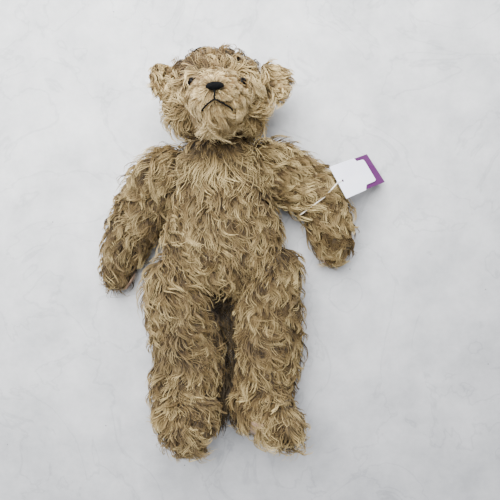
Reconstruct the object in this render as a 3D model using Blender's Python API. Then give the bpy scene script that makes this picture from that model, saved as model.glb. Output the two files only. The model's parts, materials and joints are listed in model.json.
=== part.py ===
"""Jointed mohair teddy bear with a swing ticket, lying on its back.

Millimetres in the tables, metres in the meshes. +Z is up, +Y runs towards the head and +X is
the bear's own left. The origin is the middle of the torso's flat back, on the surface it lies on.
Each limb and the head turn on a plastic disc joint. Between a limb and the torso lies the joint's
plane: the limb stays wholly on one side of it and the torso on the other, so both can turn.
"""
import math

import bmesh
import bpy
from mathutils import Matrix, Vector, geometry, noise
from mathutils.bvhtree import BVHTree

MM = 0.001
GAP = 0.3                # clearance between touching pieces
WALL = 8.0               # pile and backing of the mohair pelt
SEAT_WALL = 2.6          # pelt pressed thin between two joint discs
BACK_WALL = 3.2          # pelt pressed thin under the bear's own weight
SETTLE = 1.2             # pile this near the surface below is pressed onto it
HOLLOW_CLEAR = 0.9       # hollow of a pelt beyond the wall that a disc presses
FILL_INSET = 0.45        # filling drawn in from its pelt
SEWN_CLEAR = 0.45        # sewn piece cut back from the skin under it
VOXEL = 3.2              # grain of the fused body forms
TUFT_HEIGHT = 2.5        # relief of the pile over the pelt
TUFT_SPACING = 13.0
TUFT_FADE = 5.0          # relief dies out this near a flat seat

# A form is a chain of ellipsoids: centre x, y, z and half sizes x, y, z.
TORSO = [
    (1, 60, 34, 34, 22, 32), (1, 38, 33, 43, 24, 36), (0, 10, 33, 51, 26, 37),
    (0, -18, 33, 56, 26, 37), (0, -42, 33, 50, 25, 36), (0, -59, 32, 28, 21, 31),
]
HEAD = [(3, 117, 47, 49, 37, 48), (3, 106, 46, 51, 32, 45)]
JOWL_LEFT = [(24, 97, 45, 27, 22, 36), (33, 99, 40, 21, 19, 29)]
JOWL_RIGHT = [(-17, 98, 45, 28, 22, 36), (-28, 101, 41, 21, 20, 29)]
THROAT = [(2, 100, 42, 30, 25, 34), (2, 90, 40, 27, 20, 28)]
MUZZLE = [(5, 100, 80, 29, 23, 24), (5, 98, 98, 24, 20, 25)]
ARM_LEFT = [
    (46, 43, 29, 26, 27, 29), (62, 37, 26, 27, 27, 28), (84, 21, 25, 26, 27, 27),
    (101, 7, 24, 25, 25, 26), (104, -12, 22, 25, 22, 24), (107, -31, 19, 20, 19, 21),
    (109, -43, 16, 15, 14, 17),
]
ARM_RIGHT = [
    (-46, 44, 29, 26, 27, 29), (-60, 38, 26, 28, 25, 28), (-72, 22, 24, 28, 26, 26),
    (-85, 0, 23, 27, 25, 25), (-99, -21, 20, 22, 22, 23), (-108, -40, 17, 17, 17, 19),
    (-110, -53, 15, 15, 14, 16),
]
LEG_LEFT = [
    (48, -58, 31, 27, 27, 30), (40, -84, 30, 33, 26, 31), (37, -112, 29, 36, 24, 30),
    (36, -140, 28, 34, 24, 29), (29, -166, 28, 32, 23, 29), (22, -184, 28, 29, 24, 28),
]
FOOT_LEFT = [(20, -188, 26, 26, 23, 25), (33, -194, 46, 28, 23, 24), (46, -199, 64, 22, 20, 20)]
LEG_RIGHT = [
    (-50, -59, 31, 28, 27, 30), (-47, -84, 30, 34, 26, 31), (-42, -112, 29, 36, 24, 30),
    (-42, -138, 28, 36, 24, 29), (-46, -162, 28, 37, 24, 29), (-46, -180, 29, 35, 26, 28),
]
FOOT_RIGHT = [(-45, -186, 28, 34, 28, 27), (-44, -191, 48, 34, 27, 25), (-43, -195, 64, 28, 23, 20)]

# Triangles of each pelt's outer skin and of its inner wall.
DETAIL = {"torso": (820, 200), "head": (920, 180), "arm": (490, 130), "leg": (640, 150)}

# Joints: a point on the axis, and the axis pointing from the torso into the limb.
NECK = ((2, 75.5, 38), (0, 1, 0))
SHOULDER_POINT, SHOULDER_TO_HEAD, SHOULDER_TO_FRONT = (34.2, 42, 30), 18.0, 10.0   # tilts in degrees
HIP_POINT, HIP_TO_FEET = (39.3, -49.3, 36), 38.0

DISC_RADIUS, DISC_THICK = 14.0, 2.0
STEM_RADIUS, STEM_REACH = 2.8, 11.0
WASHER_RADIUS, WASHER_THICK = 7.0, 2.0
SIDES = 10
FILL_SIDES = 8
SEAT_CLEAR = 0.7          # room round a disc in its seat
SEAT_DEPTH = 14.0

EYE_RADIUS, EYE_STEM, EYE_WALL = 4.3, 1.0, 7.0
EYE_LIFT, EYE_RIM, EYE_WASHER = 0.6, 5.5, 1.2     # bead over the skin, washer radius and thickness
EYES = {"left": (27, 109), "right": (-15, 111)}
EAR_SIZE = (17.0, 20.0, 6.5)      # reach from the head, half width, half thickness
NOSE_SPOT, NOSE_SIZE = (5, 99.3), (7.8, 3.6, 3.0)
STITCH_RADIUS = 0.8
PAD_THICK = 1.25
MOUTH = {                         # start, end and bow of each laid stitch
    "centre": ((5, 94.6), (4.7, 92.0), 0.0),
    "left": ((6.2, 90.0), (14.5, 86.3), 1.1),
    "right": ((2.9, 90.0), (-4.8, 87.3), 0.9),
}

TAG_EDGE = (110.5, 21.8, 49.5)     # middle of the tag's end at the arm
TAG_ALONG, TAG_ACROSS = (0.723, 0.28, -0.63), (-0.466, 0.885, 0.0)
TAG_LENGTH, TAG_WIDTH, CARD_THICK, EYELET = 63.0, 34.0, 0.6, 2.6
TAG_STEP, TAG_FIELD = 0.6, 0.74    # where the front card narrows, and to what share of its width
STRING_RADIUS = 0.45
STRING_LIFT = 2 * STRING_RADIUS + 2.4 * GAP     # the arm lies on its string by this much
ELBOW, ELBOW_ACROSS = (97, 9, 26), (0.84, 0.54, 0)
TAG_TURN = (14, 82)                # where the string leaves the arm for the ticket, in degrees
EYELET_PATH = [                    # along the ticket and off its face, from below to above
    (6.0, -2.0), (6.9, -0.8), (7.1, 0.5), (6.8, 1.6), (5.6, 2.3), (3.5, 2.35), (-1.0, 2.5),
]

PALETTE = {
    "mohair": ((0.50, 0.40, 0.24), 0.95, 0.0),
    "stuffing": ((0.86, 0.85, 0.82), 1.0, 0.0),
    "felt": ((0.42, 0.30, 0.19), 0.9, 0.0),
    "thread": ((0.02, 0.017, 0.015), 0.6, 0.0),
    "eye": ((0.015, 0.01, 0.008), 0.12, 0.0),
    "plastic": ((0.78, 0.77, 0.72), 0.45, 0.0),
    "card": ((0.86, 0.85, 0.90), 0.6, 0.0),
    "card_edge": ((0.28, 0.09, 0.26), 0.55, 0.0),
    "string": ((0.85, 0.80, 0.72), 0.8, 0.0),
}


def clear_scene():
    for old in list(bpy.data.objects):
        bpy.data.objects.remove(old, do_unlink=True)


def material(name):
    """One Principled material for each finish, made at its first use."""
    if name in bpy.data.materials:
        return bpy.data.materials[name]
    colour, roughness, metallic = PALETTE[name]
    finish = bpy.data.materials.new(name)
    finish.use_nodes = True
    shader = finish.node_tree.nodes["Principled BSDF"]
    shader.inputs["Base Color"].default_value = (*colour, 1.0)
    shader.inputs["Roughness"].default_value = roughness
    shader.inputs["Metallic"].default_value = metallic
    finish.diffuse_color = (*colour, 1.0)
    return finish


def add_object(name, mesh, finish, parent=None):
    """Link a mesh made in world coordinates and hang it from its joint's empty."""
    piece = bpy.data.objects.new(name, mesh)
    bpy.context.scene.collection.objects.link(piece)
    if finish:
        mesh.materials.clear()
        mesh.materials.append(material(finish))
    if parent:
        piece.parent = parent
        piece.matrix_parent_inverse = parent.matrix_world.inverted()
    return piece


def mesh_from(bm, name):
    mesh = bpy.data.meshes.new(name)
    bm.to_mesh(mesh)
    bm.free()
    return mesh


def frame_on(point, axis):
    """A matrix whose Z axis runs along `axis` and whose origin is `point`, in metres."""
    turn = Vector(axis).normalized().to_track_quat("Z", "Y").to_matrix().to_4x4()
    return Matrix.Translation(Vector(point) * MM) @ turn


def empty_on(name, point, axis):
    marker = bpy.data.objects.new(name, None)
    bpy.context.scene.collection.objects.link(marker)
    marker.matrix_world = frame_on(point, axis)
    bpy.context.view_layer.update()
    return marker


def evaluated_mesh(piece):
    """The piece's mesh with its modifiers, as a new plain mesh."""
    bpy.context.view_layer.update()
    source = piece.evaluated_get(bpy.context.evaluated_depsgraph_get())
    return bpy.data.meshes.new_from_object(source)


def cut(piece, cutter, operation="DIFFERENCE"):
    """A live Boolean on `piece`; the cutter stays in the file as a hidden guide."""
    cutter.hide_render = True
    cutter.display_type = "WIRE"
    boolean = piece.modifiers.new(cutter.name, "BOOLEAN")
    boolean.operation = operation
    boolean.solver = "EXACT"
    boolean.object = cutter


# Joint planes

def plane_of(point, axis):
    """The joint's plane as a unit normal and its distance from the origin, in mm."""
    normal = Vector(axis).normalized()
    return normal, normal.dot(Vector(point))


def mirrored(vector):
    return (-vector[0], vector[1], vector[2])


def joint_table():
    out, up = math.radians(SHOULDER_TO_HEAD), math.radians(SHOULDER_TO_FRONT)
    shoulder = (math.cos(out) * math.cos(up), math.sin(out) * math.cos(up), math.sin(up))
    tilt = math.radians(HIP_TO_FEET)
    hip = (math.cos(tilt), -math.sin(tilt), 0.0)
    return {
        "neck": NECK,
        "shoulder_left": (SHOULDER_POINT, shoulder),
        "shoulder_right": (mirrored(SHOULDER_POINT), mirrored(shoulder)),
        "hip_left": (HIP_POINT, hip),
        "hip_right": (mirrored(HIP_POINT), mirrored(hip)),
    }


def keep_beyond(joint, distance):
    """Keep what lies on the limb's side, at least `distance` from the joint's plane."""
    normal, offset = plane_of(*joint)
    return normal, offset + distance


def keep_within(joint, distance):
    """Keep what lies on the torso's side, at least `distance` from the joint's plane."""
    normal, offset = plane_of(*joint)
    return -normal, -(offset - distance)


def floor_at(height):
    return Vector((0, 0, 1)), height


# Soft forms

def between(a, b, share):
    return [p + (q - p) * share for p, q in zip(a, b)]


def chain_of(stations, steps):
    """Ellipsoids along a chain of stations, close enough to fuse into one smooth form."""
    links = [list(stations[0])]
    for a, b in zip(stations, stations[1:]):
        links += [between(a, b, (step + 1) / steps) for step in range(steps)]
    return links


def fused_form(name, chains, shrink=0.0, smooth=8):
    """One closed skin around the chains of ellipsoids, each drawn in by `shrink`."""
    bm = bmesh.new()
    for stations in chains:
        for x, y, z, rx, ry, rz in chain_of(stations, 3):
            size = Matrix.Diagonal((rx - shrink, ry - shrink, rz - shrink, 1.0))
            place = Matrix.Translation((x, y, z)) @ size
            bmesh.ops.create_icosphere(bm, subdivisions=3, radius=1.0, matrix=Matrix.Scale(MM, 4) @ place)
    form = add_object(name, mesh_from(bm, name), None)
    remesh = form.modifiers.new("fuse", "REMESH")
    remesh.mode = "VOXEL"
    remesh.voxel_size = VOXEL * MM
    soften = form.modifiers.new("soften", "SMOOTH")
    soften.iterations = smooth
    soften.factor = 0.5
    mesh = evaluated_mesh(form)
    bpy.data.objects.remove(form, do_unlink=True)
    return mesh


def thinned(mesh, triangles):
    """The mesh with about that many triangles."""
    holder = add_object("thinned", mesh, None)
    split = holder.modifiers.new("triangles", "TRIANGULATE")
    split.min_vertices = 4
    count = sum(len(face.vertices) - 2 for face in mesh.polygons)
    fewer = holder.modifiers.new("fewer", "DECIMATE")
    fewer.ratio = min(1.0, triangles / count)
    fewer.use_collapse_triangulate = True
    result = evaluated_mesh(holder)
    bpy.data.objects.remove(holder, do_unlink=True)
    return result


def press(mesh, planes):
    """Press the form flat against each plane that it reaches past."""
    for vertex in mesh.vertices:
        point = vertex.co / MM
        for _ in range(3):
            for normal, offset in planes:
                lack = offset - normal.dot(point)
                if lack > 0:
                    point += normal * lack
        vertex.co = point * MM
    mesh.update()


def tufts_at(point):
    """Relief of the pile, from -1 to 1: a coarse swell and the locks on it."""
    swell = noise.noise(point / TUFT_SPACING)
    locks = noise.noise(point / (TUFT_SPACING * 0.45) + Vector((31.0, 7.0, 11.0)))
    return max(-1.0, min(1.0, swell + 0.8 * locks))


def ruffle(mesh, planes):
    """Raise the pile's tufts, fading out where the pelt is pressed flat."""
    normals = [vertex.normal.copy() for vertex in mesh.vertices]
    for vertex, normal in zip(mesh.vertices, normals):
        point = vertex.co / MM
        free = min(plane.dot(point) - offset for plane, offset in planes)
        fade = max(0.0, min(1.0, free / TUFT_FADE))
        vertex.co += normal * TUFT_HEIGHT * fade * tufts_at(point) * MM
    mesh.update()


def settle(mesh, floor):
    """Make the pressed underside one truly flat face, where the bear's weight rests."""
    bm = bmesh.new()
    bm.from_mesh(mesh)
    level = floor * MM
    for vertex in bm.verts:
        if vertex.co.z < level + SETTLE * MM and vertex.normal.z < -0.3:
            vertex.co.z = level
    flat = [face for face in bm.faces if all(abs(v.co.z - level) < 1e-7 for v in face.verts)]
    bmesh.ops.dissolve_faces(bm, faces=flat, use_verts=True)
    bm.to_mesh(mesh)
    bm.free()


def grown(mesh, distance, name):
    """A copy of the mesh with its skin moved outwards by `distance`, inwards if negative."""
    copy = mesh.copy()
    copy.name = name
    normals = [vertex.normal.copy() for vertex in copy.vertices]
    for vertex, normal in zip(copy.vertices, normals):
        vertex.co += normal * distance * MM
    copy.update()
    return copy


# Turned pieces

def lathe(name, profile, place, sides=SIDES):
    """A turned solid from (radius, height) points in mm, top to bottom on the outside."""
    bm = bmesh.new()
    rings = []
    for radius, height in profile:
        if radius == 0:
            rings.append([bm.verts.new((0, 0, height))])
            continue
        ring = []
        for side in range(sides):
            angle = 2 * math.pi * side / sides
            ring.append(bm.verts.new((radius * math.cos(angle), radius * math.sin(angle), height)))
        rings.append(ring)
    bore = profile[0][0] > 0
    pairs = list(zip(rings, rings[1:]))
    if bore:
        pairs.append((rings[-1], rings[0]))
    for upper, lower in pairs:
        for side in range(sides):
            after = (side + 1) % sides
            corners = [upper[side % len(upper)], lower[side % len(lower)],
                       lower[after % len(lower)], upper[after % len(upper)]]
            unique = list(dict.fromkeys(corners))
            bm.faces.new(unique)
    bmesh.ops.recalc_face_normals(bm, faces=bm.faces)
    bmesh.ops.transform(bm, matrix=place @ Matrix.Scale(MM, 4), verts=bm.verts)
    return mesh_from(bm, name)


def disc_joint(name, joint, limb_empty, torso_empty):
    """Stem disc in the limb, plain disc and lock washer in the torso; Z points into the limb."""
    place = frame_on(*joint)
    limb_face = SEAT_WALL + 2 * GAP
    torso_face = -limb_face
    disc_back = torso_face - DISC_THICK
    washer_top = disc_back - GAP
    stem = [(0, limb_face + DISC_THICK), (DISC_RADIUS, limb_face + DISC_THICK),
            (DISC_RADIUS, limb_face), (STEM_RADIUS, limb_face), (STEM_RADIUS, -STEM_REACH),
            (0, -STEM_REACH)]
    bore = STEM_RADIUS + GAP
    disc = [(bore, torso_face), (DISC_RADIUS, torso_face), (DISC_RADIUS, disc_back), (bore, disc_back)]
    washer = [(bore, washer_top), (WASHER_RADIUS, washer_top),
              (WASHER_RADIUS, washer_top - WASHER_THICK), (bore, washer_top - WASHER_THICK)]
    add_object(name + "_stem_disc", lathe(name + "_stem_disc", stem, place), "plastic", limb_empty)
    add_object(name + "_body_disc", lathe(name + "_body_disc", disc, place), "plastic", torso_empty)
    add_object(name + "_lock_washer", lathe(name + "_lock_washer", washer, place), "plastic", limb_empty)


def joint_cutters(name, joint):
    """The four cutters of a joint: through each pelt with its disc's seat, and into each filling."""
    place = frame_on(*joint)
    hole, seat = STEM_RADIUS + GAP, DISC_RADIUS + SEAT_CLEAR
    face = SEAT_WALL + GAP
    disc_room = face + DISC_THICK + 2.5 * GAP
    wide, washer = seat + 1.0, WASHER_RADIUS + 0.9      # corners of the fewer sides still clear
    profiles = {
        "limb_pelt": [(0, SEAT_DEPTH), (seat, SEAT_DEPTH), (seat, face), (hole, face), (hole, -1), (0, -1)],
        "torso_pelt": [(0, 1), (hole, 1), (hole, -face), (seat, -face), (seat, -SEAT_DEPTH), (0, -SEAT_DEPTH)],
        "limb_fill": [(0, disc_room), (wide, disc_room), (wide, -1), (0, -1)],
        "torso_fill": [(0, 1), (wide, 1), (wide, -disc_room), (washer, -disc_room),
                       (washer, -STEM_REACH - GAP), (0, -STEM_REACH - GAP)],
    }
    cutters = {}
    for use, profile in profiles.items():
        title = "cut_" + name + "_" + use
        sides = FILL_SIDES if use.endswith("fill") else SIDES
        cutters[use] = add_object(title, lathe(title, profile, place, sides), None)
    return cutters


# The bear

def soft_part(part, chains, planes_out, planes_in, counts, parent, pelt_name, fill_name):
    skin = fused_form(part + "_skin", chains)
    press(skin, planes_out)
    skin = thinned(skin, counts[0])
    press(skin, planes_out)
    ruffle(skin, planes_out)
    press(skin, planes_out)
    settle(skin, planes_out[-1][1])
    hollow = fused_form(part + "_hollow", chains, shrink=WALL)
    press(hollow, planes_in)
    hollow = thinned(hollow, counts[1])
    press(hollow, planes_in)
    pelt = add_object(pelt_name, skin.copy(), "mohair", parent)
    cut(pelt, add_object("cut_" + part + "_hollow", hollow, None))
    filling = add_object(fill_name, grown(hollow, -FILL_INSET, fill_name), "stuffing", parent)
    return skin, pelt, filling


def make_limb(part, chains, joint, empty, counts, floor=0.0):
    out = [keep_beyond(joint, GAP), floor_at(floor)]
    inside = [keep_beyond(joint, SEAT_WALL + HOLLOW_CLEAR), floor_at(floor + BACK_WALL)]
    return soft_part(part, chains, out, inside, counts, empty, part + "_pelt", part + "_stuffing")


def make_torso(joints, empty, counts):
    out = [keep_within(joint, GAP) for joint in joints.values()] + [floor_at(0.0)]
    inside = [keep_within(joint, SEAT_WALL + HOLLOW_CLEAR) for joint in joints.values()] + [floor_at(BACK_WALL)]
    return soft_part("torso", [TORSO], out, inside, counts, empty, "torso_pelt", "torso_stuffing")


def surface_height(skin, x, y):
    """The skin's highest point over (x, y), and its normal there."""
    tree = BVHTree.FromPolygons([v.co for v in skin.vertices], [f.vertices for f in skin.polygons])
    point, normal, _, _ = tree.ray_cast(Vector((x, y, 400)) * MM, Vector((0, 0, -1)))
    return point / MM, normal


def make_eye(side, spot, skin, pelt, filling, empty):
    point, normal = surface_height(skin, *spot)
    axis = (Vector((0, 0, 1)) + normal).normalized()
    place = frame_on(point, axis)
    profile = [(0, EYE_RADIUS + EYE_LIFT)]
    for step in range(1, 5):
        angle = math.radians(90 - 32 * step)
        profile.append((EYE_RADIUS * math.cos(angle), EYE_RADIUS * math.sin(angle) + EYE_LIFT))
    bottom = profile[-1][1]
    profile += [(EYE_STEM, bottom - 0.8), (EYE_STEM, -EYE_WALL - 3.5), (0, -EYE_WALL - 3.5)]
    name = "eye_" + side
    add_object(name, lathe(name, profile, place, 10), "eye", empty)
    bore, rim = EYE_STEM + GAP, EYE_RIM
    top = -EYE_WALL - GAP
    washer = [(bore, top), (rim, top), (rim, top - EYE_WASHER), (bore, top - EYE_WASHER)]
    name = "eye_washer_" + side
    add_object(name, lathe(name, washer, place, 10), "plastic", empty)
    socket = EYE_RADIUS + GAP
    through = [(0, 9), (socket + 1.6, 9), (socket + 0.5, bottom - 1.2), (bore + 0.2, bottom - 1.2),
               (bore + 0.2, -EYE_WALL), (rim + 1.0, -EYE_WALL), (rim + 1.0, -13), (0, -13)]
    into = [(0, 2), (rim + 1.4, 2), (rim + 1.4, -EYE_WALL - 4), (0, -EYE_WALL - 4)]
    cut(pelt, add_object("cut_eye_" + side, lathe("cut_eye", through, place, 8), None))
    cut(filling, add_object("cut_eye_fill_" + side, lathe("cut_eye_fill", into, place, 6), None))


def ellipsoid(name, size, place, subdivisions=3):
    bm = bmesh.new()
    shape = place @ Matrix.Scale(MM, 4) @ Matrix.Diagonal((*size, 1.0))
    bmesh.ops.create_icosphere(bm, subdivisions=subdivisions, radius=1.0, matrix=shape)
    return mesh_from(bm, name)


def make_ear(side, centre, out, face, skin, empty):
    """A cupped ear sewn to the head; `out` is where it reaches, `face` where its hollow looks."""
    out, face = Vector(out).normalized(), Vector(face)
    face = (face - out * face.dot(out)).normalized()
    along = face.cross(out)
    turn = Matrix((out, along, face)).transposed().to_4x4()
    place = Matrix.Translation(Vector(centre) * MM) @ turn
    name = "ear_" + side
    ear = add_object(name, ellipsoid(name, EAR_SIZE, place, 2), "mohair", empty)
    for vertex in ear.data.vertices:
        vertex.co += (vertex.co - Vector(centre) * MM) * 0.05 * tufts_at(vertex.co / MM)
    reach, half, thick = EAR_SIZE
    cup = place @ Matrix.Translation(Vector((1.5, 0, thick * 1.15)) * MM)
    cup_form = ellipsoid("cup", (reach * 0.66, half * 0.68, thick), cup, 2)
    cut(ear, add_object("cut_cup_" + side, cup_form, None))
    cut(ear, add_object("cut_head_" + side, grown(skin, SEWN_CLEAR, "head_" + side), None))


def thread(name, points, radius, finish, parent, closed=False, sides=1):
    """A round thread through the points, as a bevelled curve with filled ends."""
    line = bpy.data.curves.new(name, "CURVE")
    line.dimensions = "3D"
    line.bevel_depth = radius * MM
    line.bevel_resolution = sides
    line.use_fill_caps = not closed
    spline = line.splines.new("POLY")
    spline.points.add(len(points) - 1)
    for knot, point in zip(spline.points, points):
        knot.co = (*(Vector(point) * MM), 1.0)
    spline.use_cyclic_u = closed
    piece = bpy.data.objects.new(name, line)
    bpy.context.scene.collection.objects.link(piece)
    line.materials.append(material(finish))
    piece.parent = parent
    piece.matrix_parent_inverse = parent.matrix_world.inverted()
    return piece


def stitch(name, start, end, bow, skin, empty):
    """A laid stitch over the muzzle's skin from start to end, bowed sideways."""
    points = []
    for step in range(6):
        share = step / 5
        x = start[0] + (end[0] - start[0]) * share
        y = start[1] + (end[1] - start[1]) * share + bow * math.sin(math.pi * share)
        point, normal = surface_height(skin, x, y)
        points.append(point + normal * (STITCH_RADIUS + 3 * GAP))
    thread(name, points, STITCH_RADIUS, "thread", empty)


def make_face(skin, empty):
    point, _ = surface_height(skin, *NOSE_SPOT)
    flat = Matrix.Translation(point * MM)
    nose = add_object("nose", ellipsoid("nose", NOSE_SIZE, flat, 2), "thread", empty)
    cut(nose, add_object("cut_head_nose", grown(skin, SEWN_CLEAR, "head_nose"), None))
    for name, (start, end, bow) in MOUTH.items():
        stitch("mouth_stitch_" + name, start, end, bow, skin, empty)


def make_pad(name, skin, centre, axis, size, reach, empty):
    """A felt pad: the skin's own shape inside an oval, lifted off it by the gap."""
    place = frame_on(centre, axis)
    oval = lathe("cut_" + name, [(0, reach), (1.0, reach), (1.0, -reach), (0, -reach)], Matrix(), 12)
    shape = place @ Matrix.Diagonal((size[0], size[1], 1.0, 1.0))
    oval.transform(shape)
    form = grown(skin, SEWN_CLEAR + PAD_THICK, name)
    press(form, [floor_at(0.0)])
    pad = add_object(name, form, "felt", empty)
    cut(pad, add_object("cut_" + name + "_oval", oval, None), "INTERSECT")
    cut(pad, add_object("cut_" + name + "_skin", grown(skin, SEWN_CLEAR, name + "_skin"), None))


# Swing ticket

def prism(name, outline, lift, place, thick=CARD_THICK):
    """A flat card from its outline, in the tag's own plane."""
    bm = bmesh.new()
    face = bm.faces.new([bm.verts.new((x, y, lift)) for x, y in outline])
    top = bmesh.ops.extrude_face_region(bm, geom=[face])
    raised = [item for item in top["geom"] if isinstance(item, bmesh.types.BMVert)]
    bmesh.ops.translate(bm, vec=(0, 0, thick), verts=raised)
    bmesh.ops.recalc_face_normals(bm, faces=bm.faces)
    bmesh.ops.transform(bm, matrix=place @ Matrix.Scale(MM, 4), verts=bm.verts)
    return mesh_from(bm, name)


def tag_frame():
    """X along the tag away from the arm, Y across it, Z up off its face."""
    along = Vector(TAG_ALONG).normalized()
    across = Vector(TAG_ACROSS)
    across = (across - along * across.dot(along)).normalized()
    face = along.cross(across)
    turn = Matrix((along, across, face)).transposed().to_4x4()
    return Matrix.Translation(Vector(TAG_EDGE) * MM) @ turn


def make_tag(empty):
    place = tag_frame()
    half, step = TAG_WIDTH / 2, TAG_LENGTH * TAG_STEP
    inset = half * TAG_FIELD
    backing = [(4, -half + 1), (TAG_LENGTH, -half + 1), (TAG_LENGTH, half - 1), (4, half - 1)]
    front = [(0, -half), (step, -half), (step, -inset), (TAG_LENGTH - 7, -inset),
             (TAG_LENGTH - 7, inset), (step, inset), (step, half), (0, half)]
    hole = lathe("cut_eyelet", [(0, 9), (EYELET, 9), (EYELET, -9), (0, -9)],
                 place @ Matrix.Translation(Vector((7, 0, 0)) * MM), 10)
    hole = add_object("cut_eyelet", hole, None)
    card = add_object("tag_card", prism("tag_card", front, GAP + CARD_THICK, place), "card", empty)
    back = add_object("tag_backing", prism("tag_backing", backing, 0.0, place), "card_edge", empty)
    cut(card, hole)
    cut(back, hole)
    return place


def section(skin, centre, across):
    """The skin's outline in the upright plane through `centre` along `across`."""
    tree = BVHTree.FromPolygons([v.co for v in skin.vertices], [f.vertices for f in skin.polygons])
    across = Vector(across).normalized()
    outline = []
    for step in range(96):
        angle = 2 * math.pi * step / 96
        ray = across * math.cos(angle) + Vector((0, 0, 1)) * math.sin(angle)
        hit = tree.ray_cast(Vector(centre) * MM, ray)
        outline.append((Vector(hit[0]) / MM - Vector(centre)).length)
    return outline


def make_string(skin, tag_place, empty):
    """The ticket's string: pulled tight round the elbow, and led through both cards."""
    across = Vector(ELBOW_ACROSS).normalized()
    reach = section(skin, ELBOW, across)
    flat = []
    for step, radius in enumerate(reach):
        angle = 2 * math.pi * step / len(reach)
        flat.append((radius * math.cos(angle), radius * math.sin(angle)))
    hull = sorted((flat[index] for index in geometry.convex_hull_2d(flat)), key=turn_of)
    lift = STRING_RADIUS + 2 * GAP
    tight = []
    for (ax, az), (bx, bz) in zip(hull, hull[1:] + hull[:1]):
        count = max(1, round(math.hypot(bx - ax, bz - az) / 6.0))
        tight += [between((ax, az), (bx, bz), step / count) for step in range(count)]
    points = []
    for u, w in tight:
        if TAG_TURN[0] < turn_of((u, w)) < TAG_TURN[1]:
            continue
        out = Vector((u, w)).normalized() * lift
        spot = Vector(ELBOW) + across * (u + out.x) + Vector((0, 0, w + out.y))
        spot.z = max(spot.z, STRING_RADIUS + GAP)
        points.append((turn_of((u, w)), spot))
    under = [spot for turn, spot in points if turn <= TAG_TURN[0]]
    over = [spot for turn, spot in points if turn >= TAG_TURN[1]]
    through = [tag_place @ (Vector((x, 0, z)) * MM) / MM for x, z in EYELET_PATH]
    thread("tag_string", under + through + over, STRING_RADIUS, "string", empty, closed=True, sides=0)


def turn_of(point):
    """The point's angle round the arm, in degrees from 0 to 360."""
    return math.degrees(math.atan2(point[1], point[0])) % 360


def main():
    clear_scene()
    noise.seed_set(7)
    joints = joint_table()
    torso_empty = empty_on("torso_rest", (0, 0, 0), (0, 0, 1))
    empties = {name: empty_on("turn_" + name, *joint) for name, joint in joints.items()}
    cutters = {name: joint_cutters(name, joint) for name, joint in joints.items()}

    _, torso, torso_fill = make_torso(joints, torso_empty, DETAIL["torso"])
    limbs = {
        "head": ("neck", [HEAD, JOWL_LEFT, JOWL_RIGHT, THROAT, MUZZLE], DETAIL["head"], 0.0),
        "arm_left": ("shoulder_left", [ARM_LEFT], DETAIL["arm"], STRING_LIFT),
        "arm_right": ("shoulder_right", [ARM_RIGHT], DETAIL["arm"], 0.0),
        "leg_left": ("hip_left", [LEG_LEFT, FOOT_LEFT], DETAIL["leg"], 0.0),
        "leg_right": ("hip_right", [LEG_RIGHT, FOOT_RIGHT], DETAIL["leg"], 0.0),
    }
    made = {}
    for part, (joint, chains, counts, floor) in limbs.items():
        made[part] = make_limb(part, chains, joints[joint], empties[joint], counts, floor)
        cut(made[part][1], cutters[joint]["limb_pelt"])
        cut(made[part][2], cutters[joint]["limb_fill"])
        cut(torso, cutters[joint]["torso_pelt"])
        cut(torso_fill, cutters[joint]["torso_fill"])
        disc_joint(joint, joints[joint], empties[joint], torso_empty)

    head_skin, head_pelt, head_fill = made["head"]
    for side, spot in EYES.items():
        make_eye(side, spot, head_skin, head_pelt, head_fill, empties["neck"])
    make_ear("left", (55, 122, 48), (0.9, 0.4, 0.1), (-0.25, 0.0, 1.0), head_skin, empties["neck"])
    make_ear("right", (-46, 128, 55), (-0.62, 0.25, 0.74), (0.75, 0.1, 0.6), head_skin, empties["neck"])
    make_face(head_skin, empties["neck"])

    make_pad("arm_left_paw_pad", made["arm_left"][0], (100, -46, 10), (-0.45, -0.75, -0.35),
             (10, 13), 20, empties["shoulder_left"])
    make_pad("arm_right_paw_pad", made["arm_right"][0], (-101, -57, 8), (0.35, -0.8, -0.35),
             (10, 13), 20, empties["shoulder_right"])
    make_pad("leg_left_foot_pad", made["leg_left"][0], (32, -212, 42), (0.12, -1.0, -0.1),
             (20, 32), 18, empties["hip_left"])
    make_pad("leg_right_foot_pad", made["leg_right"][0], (-42, -212, 42), (0.0, -1.0, -0.1),
             (22, 31), 18, empties["hip_right"])

    tag_place = make_tag(empties["shoulder_left"])
    make_string(made["arm_left"][0], tag_place, empties["shoulder_left"])


main()
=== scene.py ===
import json
import math
from functools import partial

import bmesh
import bpy
from mathutils import Matrix, Vector, noise
from mathutils.bvhtree import BVHTree


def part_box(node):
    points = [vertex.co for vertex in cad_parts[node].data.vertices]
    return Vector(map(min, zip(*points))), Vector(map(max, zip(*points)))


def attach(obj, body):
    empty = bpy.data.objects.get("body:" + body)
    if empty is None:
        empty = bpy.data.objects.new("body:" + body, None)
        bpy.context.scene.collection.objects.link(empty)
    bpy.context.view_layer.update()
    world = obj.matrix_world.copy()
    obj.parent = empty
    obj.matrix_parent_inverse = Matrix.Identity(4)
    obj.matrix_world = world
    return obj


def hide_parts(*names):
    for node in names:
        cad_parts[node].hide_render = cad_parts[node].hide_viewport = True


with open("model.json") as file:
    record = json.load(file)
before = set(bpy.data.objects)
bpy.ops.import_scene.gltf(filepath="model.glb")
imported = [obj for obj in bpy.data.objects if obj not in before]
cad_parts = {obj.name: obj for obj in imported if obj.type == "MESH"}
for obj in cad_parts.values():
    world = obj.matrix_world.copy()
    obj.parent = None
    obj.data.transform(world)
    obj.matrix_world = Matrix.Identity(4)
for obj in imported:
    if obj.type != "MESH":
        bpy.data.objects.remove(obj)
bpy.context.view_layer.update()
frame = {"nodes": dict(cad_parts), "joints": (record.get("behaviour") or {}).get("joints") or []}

mm = 0.001
nodes = frame["nodes"]


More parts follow.
